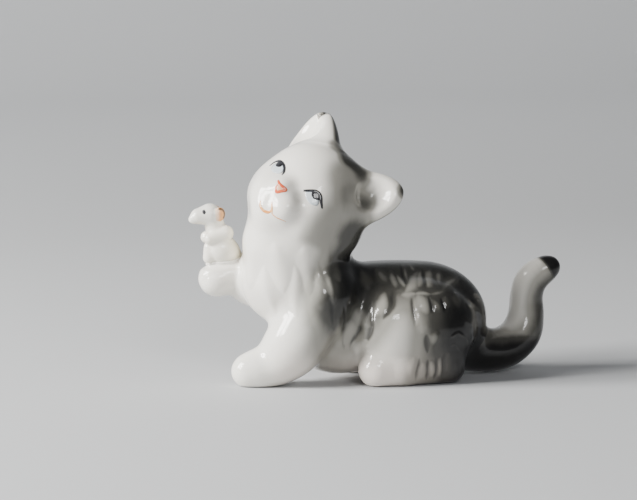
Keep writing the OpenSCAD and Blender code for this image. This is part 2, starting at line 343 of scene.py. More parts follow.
def surface_net(field, low, high, step):
    """Closed quad mesh of field = 0 inside a box."""
    axes = [np.arange(low[i], high[i] + step, step) for i in range(3)]
    shape = [len(a) for a in axes]
    f = np.empty(shape, np.float32)
    yz = np.stack(np.meshgrid(axes[1], axes[2], indexing="ij"), -1)
    for i, x in enumerate(axes[0]):
        f[i] = field(np.concatenate([np.full(yz.shape[:2] + (1,), x), yz], -1))
    inside = f < 0
    corners = [(i, j, k) for i in (0, 1) for j in (0, 1) for k in (0, 1)]

    def at(c, a):
        return a[c[0] : shape[0] - 1 + c[0], c[1] : shape[1] - 1 + c[1], c[2] : shape[2] - 1 + c[2]]

    count = sum(at(c, inside).astype(np.int8) for c in corners)
    cells = np.argwhere((count > 0) & (count < 8))
    index = np.full([n - 1 for n in shape], -1)
    index[tuple(cells.T)] = np.arange(len(cells))
    value = np.stack([f[tuple((cells + c).T)] for c in corners], 1)
    total = np.zeros((len(cells), 3))
    hits = np.zeros(len(cells))
    for a, ca in enumerate(corners):
        for b, cb in enumerate(corners):
            if a < b and sum(np.abs(np.subtract(ca, cb))) == 1:
                fa, fb = value[:, a], value[:, b]
                cross = (fa < 0) != (fb < 0)
                t = np.where(cross, fa / np.where(cross, fa - fb, 1), 0)
                total += np.where(cross[:, None], np.array(ca) + t[:, None] * np.subtract(cb, ca), 0)
                hits += cross
    verts = (cells + total / hits[:, None]) * step + np.array(low)
    faces = []
    for axis in range(3):
        u, v = [a for a in range(3) if a != axis]
        a = np.take(inside, range(shape[axis] - 1), axis)
        b = np.take(inside, range(1, shape[axis]), axis)
        edges = np.argwhere(a != b)
        edges = edges[(edges[:, u] > 0) & (edges[:, v] > 0)]
        starts_in = a[tuple(edges.T)]
        ring = []
        for du, dv in ((1, 1), (0, 1), (0, 0), (1, 0)):
            c = edges.copy()
            c[:, u] -= du
            c[:, v] -= dv
            ring.append(index[tuple(c.T)])
        quad = np.stack(ring, 1)
        flip = starts_in if axis == 1 else ~starts_in
        quad[flip] = quad[flip][:, ::-1]
        faces.append(quad)
    return verts, np.vstack(faces)


def gradient(field, p, e=0.05):
    g = np.empty_like(p)
    for i in range(3):
        step = np.zeros(3)
        step[i] = e
        g[:, i] = field(p + step) - field(p - step)
    return g / np.maximum(np.linalg.norm(g, axis=1, keepdims=True), 1e-9)


def settle(field, p, rounds=3, reach=0.3):
    """Moves points onto field = 0."""
    for _ in range(rounds):
        n = gradient(field, p)
        p = p - np.clip(field(p), -reach, reach)[:, None] * n
    return p, gradient(field, p)


def main_island(verts, faces):
    """Keeps the largest connected part."""
    label = np.arange(len(verts))
    while True:
        low = label[faces].min(1)
        new = label.copy()
        np.minimum.at(new, faces.ravel(), np.repeat(low, 4))
        new = new[new]
        if (new == label).all():
            break
        label = new
    names, counts = np.unique(label[faces[:, 0]], return_counts=True)
    keep = faces[label[faces[:, 0]] == names[counts.argmax()]]
    used, inverse = np.unique(keep, return_inverse=True)
    return verts[used], inverse.reshape(keep.shape)


def mesh_object(name, verts, faces):
    mesh = bpy.data.meshes.new(name)
    mesh.from_pydata(((verts - MIDDLE) * MM).tolist(), [], faces.tolist())
    mesh.validate()
    mesh.update()
    mesh.shade_smooth()
    obj = bpy.data.objects.new(name, mesh)
    bpy.context.scene.collection.objects.link(obj)
    return obj


# ---- Relief of the fur: leaf-shaped tufts raised on the form, with a groove round each ----

# Tufts of the flank, each from (x, z) to (x, z), then half width and how light the spray left it
TUFTS = [
    (-1.0, 31.8, 0.8, 27.9, 1.3, 0.75),
    (3.0, 31.2, 2.4, 27.0, 0.9, 0.85),
    (4.4, 30.5, 4.9, 27.4, 0.7, 0.95),
    (7.2, 32.0, 6.7, 28.6, 0.6, 0.7),
    (9.0, 32.0, 9.4, 30.2, 0.6, 0.7),
    (10.8, 30.6, 4.8, 25.9, 0.85, 0.95),
    (11.8, 30.6, 8.8, 27.4, 0.8, 0.9),
    (14.9, 30.9, 11.3, 27.3, 1.15, 0.95),
    (17.4, 30.4, 15.0, 27.3, 0.9, 0.8),
    (22.4, 28.6, 16.2, 26.2, 0.9, 0.8),
    (-5.5, 31.5, -4.4, 27.0, 1.1, 0.45),
    (8.0, 24.9, 10.7, 20.7, 1.3, 0.7),
    (12.4, 24.0, 14.0, 20.5, 0.8, 0.5),
    (16.2, 24.6, 16.1, 21.4, 0.8, 0.35),
    (19.5, 25.2, 20.0, 21.8, 0.8, 0.25),
    (7.7, 21.2, 8.7, 15.3, 1.2, 0.6),
    (-0.3, 25.8, -3.9, 20.0, 1.25, 0.95),
    (-14.2, 33.6, -14.2, 29.6, 0.85, 0.5),
    (-17.2, 31.2, -16.3, 24.0, 1.0, 0.6),
    (-9.4, 22.4, -5.6, 17.2, 1.8, 0.55),
    (-14.6, 19.4, -12.4, 10.8, 1.5, 0.6),
    (-9.8, 18.8, -11.0, 11.5, 1.4, 0.6),
    (-6.3, 13.0, -8.0, 8.6, 1.0, 0.9),
    (6.3, 8.4, 5.6, 3.0, 0.85, 0.4),
    (9.0, 6.8, 9.2, 2.4, 0.75, 0.6),
    (11.5, 7.2, 11.8, 2.5, 0.75, 0.6),
    (14.0, 8.0, 13.9, 2.8, 0.75, 0.55),
    (16.6, 8.8, 16.2, 3.4, 0.75, 0.35),
    (23.2, 21.8, 28.2, 18.3, 0.75, 0.4),
    (12.4, 15.4, 11.8, 11.6, 1.0, 0.5),
    (20.8, 19.4, 24.2, 15.6, 0.9, 0.2),
]
# Raised veins: the crease over the thigh and the curls on the rump
VEINS = [
    (3.4, 25.3, 7.9, 25.5, 0.5, 0.7),
    (7.0, 25.4, 12.2, 25.6, 0.5, 0.7),
    (11.2, 25.5, 17.2, 26.0, 0.5, 0.6),
    (16.4, 25.9, 23.4, 28.2, 0.5, 0.5),
    (16.4, 13.5, 19.8, 14.6, 0.35, 0.35),
    (19.0, 14.7, 22.6, 12.6, 0.35, 0.35),
    (22.1, 13.1, 23.2, 9.8, 0.35, 0.35),
    (23.0, 10.2, 26.8, 13.2, 0.4, 0.35),
    (16.6, 11.0, 18.7, 11.5, 0.3, 0.3),
    (18.2, 11.5, 20.2, 9.2, 0.3, 0.3),
]
# Grooves pressed dark between the tufts
FURROWS = [
    (1.8, 26.2, -1.9, 19.2, 0.8, 1),
    (6.4, 24.8, 6.2, 17.2, 0.45, 0.5),
    (10.9, 24.6, 12.1, 20.6, 0.45, 0.8),
    (14.7, 24.4, 15.1, 20.4, 0.45, 0.8),
    (9.6, 14.6, 10.2, 9.6, 0.55, 0.6),
    (-12.9, 23.5, -11.2, 10.0, 0.55, 0.6),
    (-7.2, 19.5, -9.6, 9.8, 0.5, 0.55),
    (-4.6, 20.0, -6.4, 11.4, 0.55, 0.5),
    (-17.6, 26.6, -15.6, 16.6, 0.6, 0.7),
    (12.3, 31.2, 10.9, 27.2, 0.35, 0.8),
    (6.2, 32.2, 5.9, 28.0, 0.35, 0.8),
    (7.7, 8.0, 7.4, 1.6, 0.5, 0.45),
    (10.3, 7.8, 10.5, 1.6, 0.45, 0.45),
    (12.8, 8.0, 12.8, 1.8, 0.45, 0.45),
    (15.4, 8.8, 15.1, 2.2, 0.45, 0.45),
]
# Ruff round the chest: bearing of each tuft's root in degrees from the front, how far it leans round,
# the heights of its root and tip, and its half width
CHEST_TUFTS = [
    (16, -2, 40, 27, 1.5),
    (31, 2, 34, 20, 1.4),
    (44, 3, 40, 27, 1.9),
    (58, 3, 34, 21, 1.4),
    (70, 4, 39, 27, 1.8),
    (83, 4, 35, 22, 1.4),
    (94, 3, 39, 26, 1.4),
    (3, 0, 33, 20, 1.3),
]
PER_DEGREE = 0.245  # millimetres of the chest's girth
TUFT_LIFT, VEIN_LIFT, FURROW_DEPTH, RUFF_LIFT = 0.28, 0.17, 0.28, 0.55
RUFF = [
    (bearing * PER_DEGREE, top, (bearing + lean) * PER_DEGREE, foot, wide, 0)
    for bearing, lean, top, foot, wide in CHEST_TUFTS
]


def leaves(u, v, rows, point=1.15):
    """At (u, v): soft height of the leaf-shaped rows and their lightness, 0 to 1."""
    dome, light = np.zeros(len(u)), np.zeros(len(u))
    for u0, v0, u1, v1, wide, pale in rows:
        du, dv = u1 - u0, v1 - v0
        length = np.hypot(du, dv)
        along = ((u - u0) * du + (v - v0) * dv) / length**2
        across = ((u - u0) * dv - (v - v0) * du) / (length * wide * 1.25)
        half = np.clip(1 - ((2 * along - 1) / point) ** 2, 0, 1)
        inside = np.exp(-((across / np.maximum(half**0.7, 0.1)) ** 2)) * half**0.8
        dome = np.maximum(dome, inside)
        light = np.maximum(light, pale * inside)
    return dome, light


def puff(p, centre, radii):
    """Soft round spot, 1 at its centre and 0 outside."""
    r = np.linalg.norm((p - np.asarray(centre)) / np.asarray(radii), axis=1)
    return 1 - ramp(r, 0.25, 1.0)


def wander(p, size, amount):
    """Slow wave that keeps the hand-pressed marks from looking ruled."""
    x, y, z = (p / size).T
    return amount * (np.sin(1.3 * x + 2.1 * z + 0.7 * y) + 0.6 * np.sin(2.9 * x - 1.7 * z + 1.1 * y + 2))


def fur(p, n):
    """Relief of the fur in millimetres outwards, and how it lightens or darkens the airbrushed colour and
    its painted shade.
    """
    u, v = p[:, 0] + wander(p, 3.1, 0.16), p[:, 2] + wander(p + 9, 3.7, 0.2)
    side = ramp(np.abs(n[:, 1]), 0.05, 0.3)
    dome, light = leaves(u, v, TUFTS)
    vein, vein_light = leaves(u, v, VEINS, 1.04)
    furrow, dark = leaves(u, v, FURROWS)
    bearing = 180 - np.degrees(np.abs(np.arctan2(p[:, 1], p[:, 0] + 18)))
    ruff, _ = leaves(bearing * PER_DEGREE + wander(p, 5, 0.25), v + wander(p + 5, 6, 0.4), RUFF)
    chest = ramp(-p[:, 0], 14.5, 18) * ramp(-n[:, 2], -0.75, -0.5)
    crown = 1 - 0.75 * ramp(p[:, 2], 26, 30.5)  # the relief fades out over the back
    flank = TUFT_LIFT * dome + VEIN_LIFT * vein - FURROW_DEPTH * furrow
    lift = side * crown * flank * ramp(p[:, 0], -18.5, -16)
    lift += chest * RUFF_LIFT * ruff
    tint = side * (np.maximum(light, vein_light) - 0.8 * dark)
    below_head = ramp(head(p.astype(np.float32)), 0.2, 2.4)
    return lift * below_head * ramp(p[:, 2], 0.8, 2.6), tint


# ---- Airbrushed colour and painted shade ----

# Darkness over the flank, airbrushed grey and, on the ruff's right side and the shoulder, painted shade: at
# each x, heights with 0 for bare porcelain to 1 for black
FLANK_SPRAY_AND_SHADE = {
    -26: [(40, 0), (34, 0), (30, 0.02), (25, 0.05), (20, 0.03), (14, 0), (8, 0)],
    # Columns -23 and -20, and partly -17, are painted shade where the ruff and shoulder turn from the window
    # light
    -23: [
        (37, 0), (33, 0.06), (30, 0.12), (27, 0.2), (24, 0.2), (20, 0.16),
        (15, 0.12), (10, 0.16), (5, 0.05),
    ],
    -20: [
        (38, 0.1), (33, 0.2), (30, 0.34), (27, 0.5), (24, 0.66), (21, 0.58),
        (17, 0.3), (13, 0.28), (9, 0.24), (5, 0.05),
    ],
    -17: [
        (38, 0.4), (34, 0.5), (30, 0.6), (27, 0.62), (24, 0.72), (21, 0.88),
        (17, 0.6), (13, 0.5), (9, 0.4), (5, 0.15),
    ],
    -13: [
        (37, 0.7), (33, 0.88), (30, 0.92), (26, 0.98), (22, 0.9), (18, 0.68),
        (13, 0.36), (9, 0.28), (5, 0.18),
    ],
    -9: [
        (37, 0.92), (33, 0.96), (29, 0.95), (25, 0.82), (21, 0.56), (17, 0.4),
        (13, 0.36), (9, 0.2), (5, 0.1),
    ],
    -5: [(35, 0.88), (31, 0.9), (27, 0.86), (23, 0.8), (20, 0.74), (16, 0.52), (12, 0.3), (8, 0.12)],
    -2: [
        (35, 0.86), (30, 0.8), (26, 0.78), (23, 0.58), (20, 0.4), (17, 0.2),
        (13, 0.1), (9, 0.02), (4, 0),
    ],
    1: [(35, 0.82), (30, 0.74), (26, 0.6), (23, 0.3), (20, 0), (16, 0), (11, 0), (6, 0)],
    5: [(35, 0.8), (31, 0.7), (28, 0.62), (25, 0.42), (21, 0.1), (16, 0.12), (11, 0.16), (5, 0.2)],
    8: [(24, 0.46), (20, 0.36), (15, 0.34), (10, 0.34), (5, 0.34)],
    11: [(34, 0.8), (30, 0.68), (26, 0.62), (22, 0.58), (18, 0.58), (13, 0.6), (8, 0.5), (4, 0.4)],
    15: [(33, 0.78), (29, 0.72), (25, 0.72), (21, 0.78), (16, 0.85), (11, 0.86), (5, 0.62)],
    20: [(31, 0.78), (27, 0.76), (23, 0.85), (18, 0.94), (12, 0.98), (6, 0.92)],
    26: [(25, 0.88), (18, 0.95), (10, 0.98)],
    30: [(8, 0.98), (16, 0.95)],
    34: [(6, 0.98)],
}
SPRAY_SHADE_PUFFS = np.array([(x, z, dark) for x, column in FLANK_SPRAY_AND_SHADE.items() for z, dark in column])
PUFF_REACH = 2.6


# Airbrushed darkness and painted shade, blended from the table's puffs
def spray_and_shade(p):
    q = (p[:, None, ::2] - SPRAY_SHADE_PUFFS[None, :, :2]) / PUFF_REACH
    weight = np.exp(-0.5 * (q**2).sum(-1))
    return (weight * SPRAY_SHADE_PUFFS[:, 2]).sum(1) / (weight.sum(1) + 1e-9)


def coat(p, tint):
    """The airbrushed darkness with its painted shade, paler on the tufts and deeper in the furrows."""
    dark = spray_and_shade(p)
    pale = dark * (1 - 0.52 * np.maximum(tint, 0))
    deep = 0.9 * np.maximum(-tint, 0) * (1 - dark) * ramp(dark, 0.0, 0.35)
    return np.clip(pale + deep, 0, 1)


def face_place(p):
    """Points in the head's own millimetres: to the cat's left, forward, up."""
    return (p - HEAD) @ HEAD_AXES.T


# Spots on the head, airbrushed grey on the crown and painted shade down the left cheek, at the left ear's
# root and in the crease beside the muzzle: side, forward, up, radius, darkness
HEAD_SPOTS_AND_SHADE = [
    (4.6, 4.4, 13.8, 5.0, 0.62),
    (8.6, 1.7, 12.4, 5.0, 0.6),
    (-0.4, 4.5, 14.6, 4.5, 0.4),
    # From here on, painted shade: the left cheek, the left ear's root and the crease beside the muzzle
    (9.0, 7.5, 9.0, 9.0, 0.26),
    (13.5, -1.5, 7.0, 6.5, 0.5),
    (12.0, 4.5, 6.5, 6.5, 0.2),
    (16.0, -2.5, -1.0, 7.0, 0.5),
    (4.9, 12.9, -3.9, 3.6, 0.14),
    (16.5, -6.0, -7.0, 6.0, 0.5),
]


def head_coat_and_shade(p):
    """Grey airbrushed on the crown between the ears and the back of the head, and painted shade on the left
    cheek, the side turned from the light.
    """
    q = face_place(p)
    dark = 0.75 * ramp(-q[:, 1], 1.5, 9) * ramp(p[:, 0], -19, -9)
    # Painted shade: a grey gradient over the left cheek, turned from the window light
    dark = np.maximum(dark, 0.34 * ramp(q[:, 0], 7, 15.5) * ramp(-q[:, 2], -9, -2))
    for *centre, radius, strength in HEAD_SPOTS_AND_SHADE:
        dark = 1 - (1 - dark) * (1 - strength * puff(q, centre, radius))
    return np.clip(dark, 0, 1)


def paint(obj, **maps):
    """Writes each map as an attribute of the mesh's points."""
    for name, values in maps.items():
        obj.data.attributes.new(name, "FLOAT", "POINT").data.foreach_set("value", values.astype(np.float32))


# ---- Enamel: thin solids laid on the finished form ----


def drop(points, direction):
    """Moves points along direction until they meet the form."""
    p = points.copy()
    for _ in range(60):
        p = p + np.clip(whole(p) * 0.9, -1, 3)[:, None] * direction
    return p


class Enamel:
    """Closed strokes and patches, drawn in a plane with axes side and up and dropped on the form."""

    def __init__(self, origin, side, up, toward):
        self.origin, self.side, self.up, self.toward = origin, side, up, toward
        self.verts, self.faces, self.slots = [], [], []

    def lay(self, flat, lift):
        """Points of the plane, dropped on the form and lifted along its normal."""
        start = self.origin + flat[:, :1] * self.side + flat[:, 1:] * self.up + 22 * self.toward
        p = drop(start, -self.toward)
        return p + gradient(whole, p) * lift[:, None]

    def add(self, verts, faces, slot):
        base = sum(len(v) for v in self.verts)
        self.verts.append(verts)
        self.faces += [[base + i for i in f] for f in faces]
        self.slots += [slot] * len(faces)

    def stroke(self, points, width, height=0.09, slot=0, steps=6, around=10):
        """Brush stroke through points of (side, up, share of width)."""
        path = smooth_path([(a, b, 0, w) for a, b, w in points], steps)
        mid, w = path[:, :2], path[:, 3] * width / 2
        way = np.gradient(mid, axis=0)
        way /= np.linalg.norm(way, axis=1, keepdims=True)
        across = np.stack([-way[:, 1], way[:, 0]], 1)
        a = np.linspace(0, 2 * np.pi, around, endpoint=False)
        flat = mid[:, None] + across[:, None] * (w[:, None] * np.cos(a))[..., None]
        lift = np.where(np.sin(a) > 0, height * np.sin(a), 0.12 * np.sin(a)) * np.ones((len(mid), 1))
        lift = lift * np.clip(w / w.max(), 0.4, 1)[:, None]
        verts = self.lay(flat.reshape(-1, 2), lift.ravel())
        n = around
        faces = []
        for i in range(len(mid) - 1):
            for k in range(n):
                k1 = (k + 1) % n
                faces.append([i * n + k, i * n + k1, (i + 1) * n + k1, (i + 1) * n + k])
        faces += [list(range(n))[::-1], [(len(mid) - 1) * n + k for k in range(n)]]
        self.add(verts, faces, slot)

    def patch(self, centre, outline, height=0.07, slot=0, rings=5):
        """Filled spot with a smooth outline of (side, up) points about its centre."""
        edge = smooth_path([(a, b, 0, 0) for a, b in list(outline) + [outline[0]]], 5)[:-1, :2]
        n = len(edge)
        share = np.linspace(0, 1, rings + 1)[1:]
        flat = np.concatenate([[centre]] + [centre + s * (edge - centre) for s in share])
        fall = np.concatenate([[1.0], np.repeat(1 - share**4, n)])
        top = self.lay(flat, height * fall)
        under = self.lay(flat, -0.12 * fall - 0.01)
        last = 1 + (rings - 1) * n
        verts = np.vstack([top, under[:last]])
        m = len(top)
        low = lambda i: m + i if i < last else i
        faces = []
        for k in range(n):
            k1 = (k + 1) % n
            faces += [[0, 1 + k, 1 + k1], [m, m + 1 + k1, m + 1 + k]]
            for r in range(rings - 1):
                a, b, c, d = 1 + r * n + k, 1 + (r + 1) * n + k, 1 + (r + 1) * n + k1, 1 + r * n + k1
                faces += [[a, b, c, d], [low(d), low(c), low(b), low(a)]]
        self.add(verts, faces, slot)

    def build(self, name, materials):
        mesh = bpy.data.meshes.new(name)
        mesh.from_pydata(((np.vstack(self.verts) - MIDDLE) * MM).tolist(), [], self.faces)
        for m in materials:
            mesh.materials.append(m)
        mesh.polygons.foreach_set("material_index", self.slots)
        bm = bmesh.new()
        bm.from_mesh(mesh)
        bmesh.ops.recalc_face_normals(bm, faces=bm.faces)
        bm.to_mesh(mesh)
        bm.free()
        mesh.shade_smooth()
        obj = bpy.data.objects.new(name, mesh)
        bpy.context.scene.collection.objects.link(obj)
        stand_for(obj, name)
        return obj


def stand_for(obj, node):
    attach(obj, BODY)
    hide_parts(node)


# ---- Materials ----


class Shader:
    """Small helper to wire a node material."""

    def __init__(self, name):
        self.material = bpy.data.materials.new(name)
        self.material.use_nodes = True
        self.tree = self.material.node_tree
        self.surface = self.tree.nodes["Principled BSDF"]

    def node(self, kind, **settings):
        """New node; a setting is an input where the node has one of that name."""
        n = self.tree.nodes.new(kind)
        for key, value in settings.items():
            if key in n.inputs:
                n.inputs[key].default_value = value
            else:
                setattr(n, key, value)
        return n

    def link(self, a, b):
        self.tree.links.new(a, b)

    def attribute(self, name):
        return self.node("ShaderNodeAttribute", attribute_name=name)

    def math(self, operation, a, b, clamp=False):
        n = self.node("ShaderNodeMath", operation=operation, use_clamp=clamp)
        for socket, value in zip(n.inputs, (a, b)):
            if isinstance(value, (int, float)):
                socket.default_value = value
            else:
                self.link(value, socket)
        return n.outputs[0]

    def mix(self, factor, a, b, blend="MIX"):
        """Mix of two colours, each a tuple or a socket."""
        n = self.node("ShaderNodeMix", data_type="RGBA", blend_type=blend)
        for socket, value in ((n.inputs[0], factor), (n.inputs[6], a), (n.inputs[7], b)):
            if isinstance(value, (int, float)):
                socket.default_value = value
            elif isinstance(value, tuple):
                socket.default_value = value + (1,)
            else:
                self.link(value, socket)
        return n.outputs[2]

    def noise(self, scale, detail=3, stretch=(1, 1, 1), distortion=0.0):
        place = self.node("ShaderNodeTexCoord").outputs["Object"]
        m = self.node("ShaderNodeMapping", Scale=stretch)
        self.link(place, m.inputs["Vector"])
        n = self.node("ShaderNodeTexNoise", Scale=scale, Detail=detail, Distortion=distortion)
        self.link(m.outputs[0], n.inputs["Vector"])
        return n.outputs["Fac"]

    def ramp(self, value, stops):
        """Colour along value, from stops of (place, colour)."""
        n = self.node("ShaderNodeValToRGB")
        n.color_ramp.interpolation = "EASE"
        while len(n.color_ramp.elements) < len(stops):
            n.color_ramp.elements.new(0.5)
        for e, (at, colour) in zip(n.color_ramp.elements, stops):
            e.position, e.color = at, colour + (1,)
        self.link(value, n.inputs[0])
        return n.outputs[0]

    def glaze(self, ripple=0.06):
        """Clear glassy coat over the colour, with the faint ripple of a dipped glaze."""
        s = self.surface.inputs
        s["Roughness"].default_value = 0.32
        s["IOR"].default_value = 1.5
        s["Specular IOR Level"].default_value = 0.15
        s["Subsurface Weight"].default_value = 0.12
        s["Subsurface Radius"].default_value = (1.0, 0.9, 0.75)
        s["Subsurface Scale"].default_value = 0.0012
        s["Coat Weight"].default_value = 0.9
        s["Coat Roughness"].default_value = 0.035
        s["Coat IOR"].default_value = 1.46
        bump = self.node("ShaderNodeBump", Strength=ripple, Distance=0.0006)
        self.link(self.noise(190, 2), bump.inputs["Height"])
        self.link(bump.outputs[0], s["Normal"])
        self.link(bump.outputs[0], s["Coat Normal"])


PORCELAIN = (0.82, 0.80, 0.735)
CREAM = (0.84, 0.77, 0.60)
BLUSH = (0.80, 0.70, 0.63)
LIGHT_GREY = (0.40, 0.40, 0.385)
DARK_GREY = (0.075, 0.075, 0.072)
SOOT = (0.012, 0.012, 0.013)


def glazed(name, tint):
    """Porcelain with airbrushed grey and painted shade from the mesh's shade map and a warm wash, partly
    painted shade on the mouse, from its warm map.
    """
    m = Shader(name)
    shade = m.attribute("shade").outputs["Fac"]
    cloud = m.math("MULTIPLY", m.math("SUBTRACT", m.noise(110, 4), 0.5), 0.16)
    hairs = m.math("MULTIPLY", m.math("SUBTRACT", m.noise(420, 3, (1, 1, 0.35), distortion=0.4), 0.5), 0.14)
    strength = m.math("MULTIPLY", m.math("ADD", cloud, hairs), m.math("MULTIPLY", shade, 1.6, True))
    shade = m.math("ADD", shade, strength, True)
    white = m.mix(m.attribute("warm").outputs["Fac"], PORCELAIN, tint)
    grey = m.ramp(shade, [(0.0, (1, 1, 1)), (0.28, LIGHT_GREY), (0.6, DARK_GREY), (0.92, SOOT)])
    m.link(m.mix(1.0, white, grey, "MULTIPLY"), m.surface.inputs["Base Color"])
    m.glaze()
    return m.material


def enamel(name, colour, thin, spread=0.4):
    """Brushed enamel: full colour where thick, paler where the brush ran dry."""
    m = Shader(name)
    streak = m.ramp(m.noise(600, 3), [(0.35, (0, 0, 0)), (0.7, (spread, spread, spread))])
    m.link(m.mix(streak, colour, thin), m.surface.inputs["Base Color"])
    m.glaze(0.03)
    return m.material


# ---- Pieces ----

GLAZE = {
    "tabby_glaze": glazed("tabby_glaze", BLUSH),
    "face_glaze": glazed("face_glaze", BLUSH),
    "paw_glaze": glazed("paw_glaze", BLUSH),
    "mouse_glaze": glazed("mouse_glaze", CREAM),
    "mouse_ear_enamel": glazed("mouse_ear_enamel", (0.80, 0.38, 0.13)),
}
SLOT = {s["node"]: s["material_slot"] for s in frame["record"]["subparts"]}
FURRED = ("torso_shell", "left_hind_leg", "right_hind_leg", "left_foreleg", "right_foreleg")
BODY_STEP, FINE_STEP = 0.36, 0.2  # spacing of the mesh on the cat and on the mouse


def shade_map(name, p, n, tint):
    if name in ("mouse_left_ear", "mouse_right_ear"):
        q = (p - MOUSE_SKULL - (2.2, 0, 0.3))[:, ::2] / (1.6, 1.9)
        r = np.linalg.norm(q, axis=1)
        return 0.55 * ramp(r, 0.55, 0.75) * ramp(-r, -1.0, -0.85) * ramp(q[:, 0] + 0.6 * q[:, 1], 0.0, 0.4)
    if name.startswith("mouse"):
        return np.zeros(len(p))
    q = p.astype(np.float32)
    if name in ("left_ear", "right_ear"):
        own = ear_shade(p, n, LEFT if name == "left_ear" else RIGHT)
        return np.maximum(head_coat_and_shade(p), own * ramp(head(q), 0, 2))
    if name == "tail":
        return tail_shade(p, n)
    if name == "head_shell" or name == "torso_shell":
        # The head's painted shade runs on across the neck seam together with the spray
        body = ramp(head(q) - torso(q), -1.5, 2.0)  # the spray runs on across the neck seam
        return body * coat(p, tint) + (1 - body) * head_coat_and_shade(p)
    return coat(p, tint)


def tail_shade(p, n):
    x, y, z = p.T
    root = 0.96 * ramp(-z, -14.5, -7)
    # Painted shade: darker on the faces that turn to +x, away from the window light
    right = 0.1 + 0.5 * ramp(n[:, 0] - 0.2 * n[:, 1], -0.5, 0.8)
    tip = 0.9 * ramp(x + 0.6 * z, 67.2, 69.4)
    return np.maximum.reduce([root, right, tip])


def ear_shade(p, n, s):
    side, forward, up = face_place(p).T
    behind = ramp(-(n @ FACE), -0.15, 0.5)
    tip = on_head(*EARS[s]["tip"])
    near_tip = 1 - ramp(np.linalg.norm(p - tip, axis=1), 0.8, 3.2)
    if s == RIGHT:
        inner = ramp(n[:, 0] - 0.26 * n[:, 1], 0.25, 0.95)
        return np.clip(np.maximum.reduce([0.85 * behind, 0.9 * inner, 0.6 * near_tip]), 0, 1)
    return np.clip(np.maximum(0.55 * behind, 0.55 * near_tip), 0, 1)


def warm_map(name, p):
    if name in ("mouse_left_ear", "mouse_right_ear"):
        return 0.35 + 0.65 * ramp(p[:, 0], -44.0, -42.2)
    if name == "mouse_head":
        return 0.7 * puff(p, (-48.2, 8, 43.9), (2.4, 4, 1.6))
    if name == "mouse_body":
        # Creamier towards +x: painted shade where the mouse turns from the light, over the body's own cream
        return 0.25 + 0.6 * ramp(p[:, 0], -42.5, -37.5) + 0.4 * puff(p, (-47, 8, 43.4), (2.5, 4, 2))
    if name == "left_foreleg":
        return 0.5 * ramp(-p[:, 2], -17, -4) * ramp(p[:, 0], -36, -26)
    return 0.1 + 0.5 * ramp(-p[:, 2], -13, -3) * ramp(p[:, 0], -24, -12)


for name in SECTIONS:
    low, high = REACH[name]
    step = FINE_STEP if name.startswith("mouse") else BODY_STEP
    field = lambda p, name=name: section(p.astype(np.float32), name)
    verts, faces = main_island(*surface_net(field, low, high, step))
    verts, normals = settle(field, verts)
    lift, tint = fur(verts, normals)
    if name not in FURRED:
        lift = 0 * lift
    obj = mesh_object(name, verts + normals * lift[:, None], faces)
    paint(obj, shade=shade_map(name, verts, normals, tint), warm=warm_map(name, verts))
    obj.data.materials.append(GLAZE[SLOT[name]])
    stand_for(obj, name)

BLACK = enamel("black_enamel", (0.012, 0.012, 0.014), (0.10, 0.10, 0.11))
RED = enamel("nose_enamel", (0.66, 0.09, 0.03), (0.78, 0.24, 0.09), 0.6)
PALE_RED = enamel("nose_wash", (0.80, 0.42, 0.26), (0.84, 0.66, 0.52), 0.8)
ORANGE = enamel("mouth_enamel", (0.74, 0.26, 0.05), (0.82, 0.48, 0.22), 0.8)
PALE_BLUE = enamel("iris_wash", (0.60, 0.67, 0.71), (0.74, 0.77, 0.77), 0.8)

# Iris wash, pupil and lid line of each eye: side and up on the face, and each lid point's share of the width
EYES = {
    "left_eye_enamel": dict(
        iris_at=(7.4, -1.5),
        iris=[(5.3, -1.4), (6.5, 0.0), (8.0, 0.5), (9.4, -0.6), (9.9, -2.0), (8.3, -2.9), (6.5, -2.4)],
        pupil_at=(7.9, -0.1),
        pupil=[(6.6, 0.2), (7.6, 1.0), (9.1, 0.6), (9.3, -0.6), (8.1, -1.4), (6.8, -0.8)],
        lid=[
            (4.7, -1.4, 0.6), (5.7, -0.5, 0.9), (7.3, 0.8, 1),
            (8.7, 0.7, 1), (9.8, -0.4, 0.9), (11.1, -1.7, 0.5),
        ],
    ),
    "right_eye_enamel": dict(
        iris_at=(-6.2, -0.8),
        iris=[(-8.4, -0.6), (-7.5, 0.7), (-5.6, 0.9), (-4.1, 0.0), (-3.6, -1.6), (-5.6, -2.6), (-7.7, -2.0)],
        pupil_at=(-6.8, 0.2),
        pupil=[(-8.0, 0.6), (-6.8, 1.2), (-5.6, 0.9), (-5.4, -0.2), (-6.6, -0.8), (-7.7, -0.4)],
        lid=[
            (-9.2, -1.6, 0.4), (-9.0, -0.1, 0.8), (-8.1, 1.0, 1), (-6.4, 1.2, 1),
            (-4.5, 0.5, 1), (-3.2, -0.8, 0.9), (-2.8, -1.8, 0.4),
        ],
    ),
}
LID_WIDTH = 0.85
for name, parts in EYES.items():
    eye = Enamel(HEAD, CHEEK, CROWN, FACE)
    eye.patch(np.array(parts["iris_at"]), parts["iris"], 0.03, 1)
    eye.patch(np.array(parts["pupil_at"]), parts["pupil"], 0.08)
    eye.stroke(parts["lid"], LID_WIDTH)
    eye.build(name, [BLACK, PALE_BLUE])

nose = Enamel(HEAD, CHEEK, CROWN, FACE)
wash = [(-1.3, -4.1), (0.1, -4.1), (1.7, -4.4), (1.2, -5.5), (0.3, -6.4), (-0.6, -5.6)]
rim = [
    (-1.9, -3.7, 0.7), (-0.3, -4.3, 1), (1.8, -4.4, 1), (1.2, -5.6, 1),
    (0.3, -6.5, 1), (-0.6, -5.7, 0.8), (-0.7, -4.9, 0.4),
]
nose.patch(np.array([0.2, -5.1]), wash, 0.05, 1)
nose.stroke(rim, 0.85)
nose.build("nose_enamel", [RED, PALE_RED])

